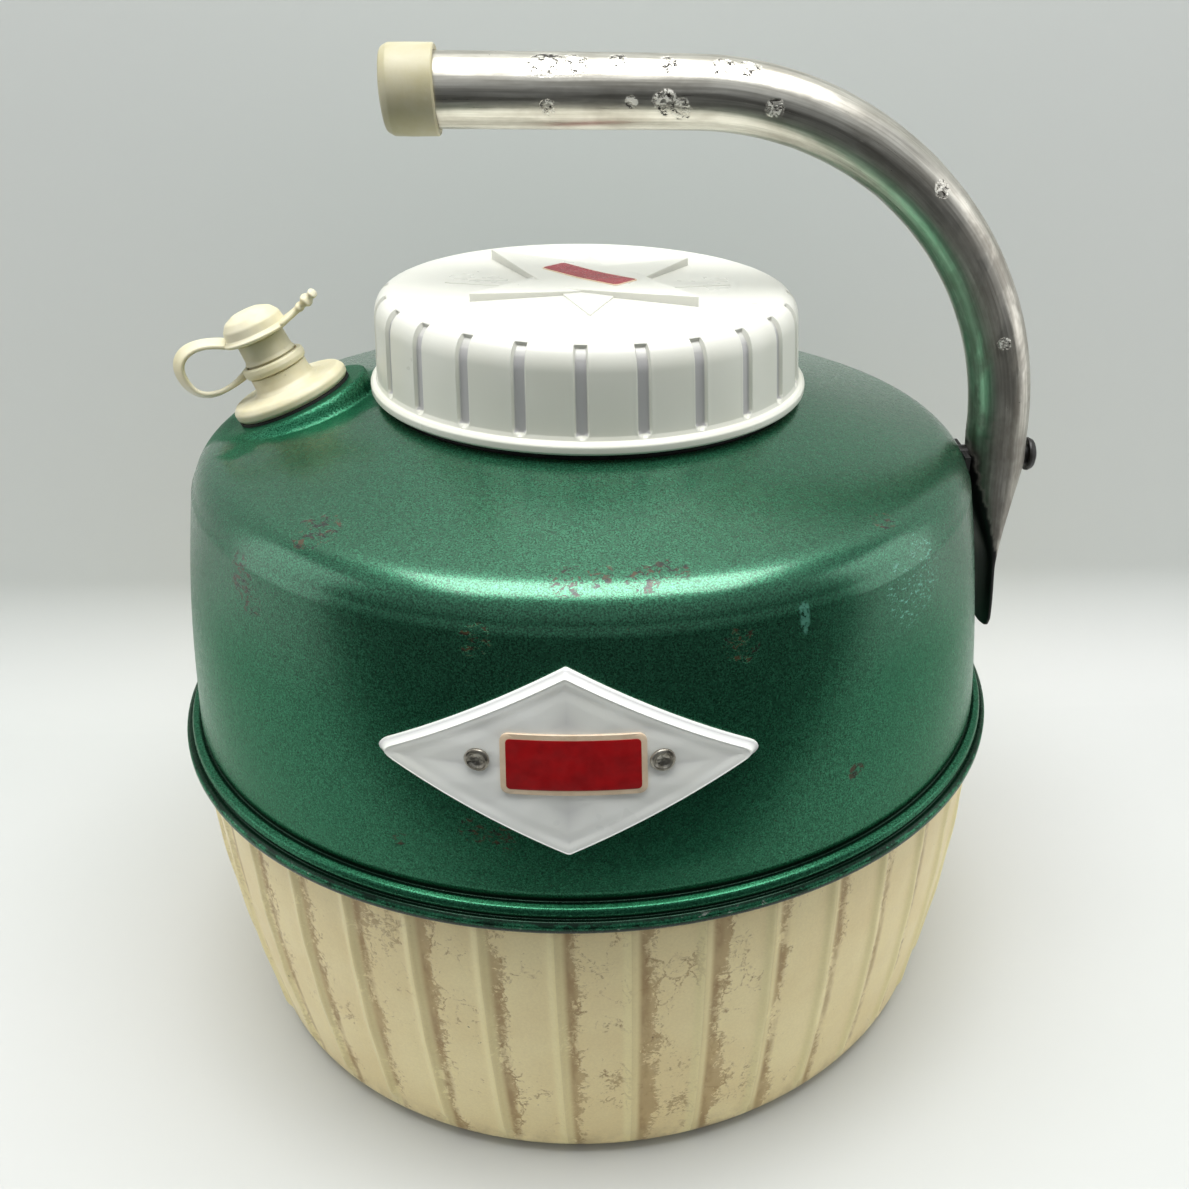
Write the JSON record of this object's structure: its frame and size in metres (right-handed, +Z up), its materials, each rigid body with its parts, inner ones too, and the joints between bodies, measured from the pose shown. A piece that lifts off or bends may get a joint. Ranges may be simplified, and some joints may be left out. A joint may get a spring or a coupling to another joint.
{
  "type": "insulated water jug",
  "caption": "Insulated water jug: enamelled steel upper shell over a ribbed plastic base, screw lid, capped spout and a one-arm tube carrying handle.",
  "frame": {"origin": "centre of the base on the surface it stands on", "axes": "+Z up along the body's axis, +X towards the handle's bolt, -X towards the spout, -Y towards the badge"},
  "size_m": [0.2693, 0.258, 0.2889],
  "materials": {
    "green_enamel": "gloss",
    "tan_plastic": "satin",
    "foam": "matte",
    "liner_plastic": "satin",
    "black_rubber": "matte",
    "white_plastic": "gloss",
    "red_label": "satin",
    "rivet_metal": "satin",
    "cream_plastic": "satin",
    "seal_rubber": "matte",
    "handle_aluminium": "brushed",
    "black_metal": "satin",
    "wood_block": "matte",
    "zinc_steel": "satin"
  },
  "bodies": {
    "jug": {"bottom_shell": "tan_plastic", "top_shell": "green_enamel", "foam_insulation": "foam", "liner": "liner_plastic", "neck_seal": "black_rubber", "badge_plate": "white_plastic", "badge_label": "red_label", "badge_rivets": "rivet_metal", "spout_nozzle": "cream_plastic", "spout_gasket": "black_rubber", "spout_grommet": "black_rubber", "handle_pad": "black_rubber", "handle_bolt": "black_metal", "handle_backing_block": "wood_block", "handle_washer": "zinc_steel", "handle_nut": "zinc_steel"},
    "spout_ring": {"strap_ring": "cream_plastic"},
    "spout_cap": {"spout_cap": "cream_plastic", "cap_strap": "cream_plastic"},
    "lid_seal": {"lid_gasket": "seal_rubber"},
    "lid": {"lid_shell": "white_plastic", "lid_inner_cover": "white_plastic", "lid_foam": "foam", "lid_label": "red_label"},
    "handle": {"handle_tube": "handle_aluminium", "handle_end_cap": "cream_plastic"}
  },
  "joints": [
    {"name": "strap_swivel", "type": "hinge", "parent": "jug", "child": "spout_ring", "pos_m": [-0.0868, 0, 0.194], "axis": [-0.3746, 0, 0.9272], "range_deg": [-60, 60]},
    {"name": "cap_pull", "type": "slide", "parent": "spout_ring", "child": "spout_cap", "axis": [-0.3746, 0, 0.9272], "range_m": [0, 0.012], "deforming": ["cap_strap"]},
    {"name": "lid_lift", "type": "slide", "parent": "jug", "child": "lid_seal", "axis": [0, 0, 1], "range_m": [0, 0.0161]},
    {"name": "lid_turn", "type": "hinge", "parent": "lid_seal", "child": "lid", "pos_m": [0, 0, 0.21], "axis": [0, 0, 1], "range_deg": [0, 720]},
    {"name": "handle_swing", "type": "hinge", "parent": "jug", "child": "handle", "pos_m": [0.127, 0, 0.175], "axis": [1, 0, 0], "range_deg": [-70, 70]}
  ],
  "couplings": [
    {"joint": "lid_lift", "follows": "lid_turn", "m_per_rad": 0.0012732}
  ]
}
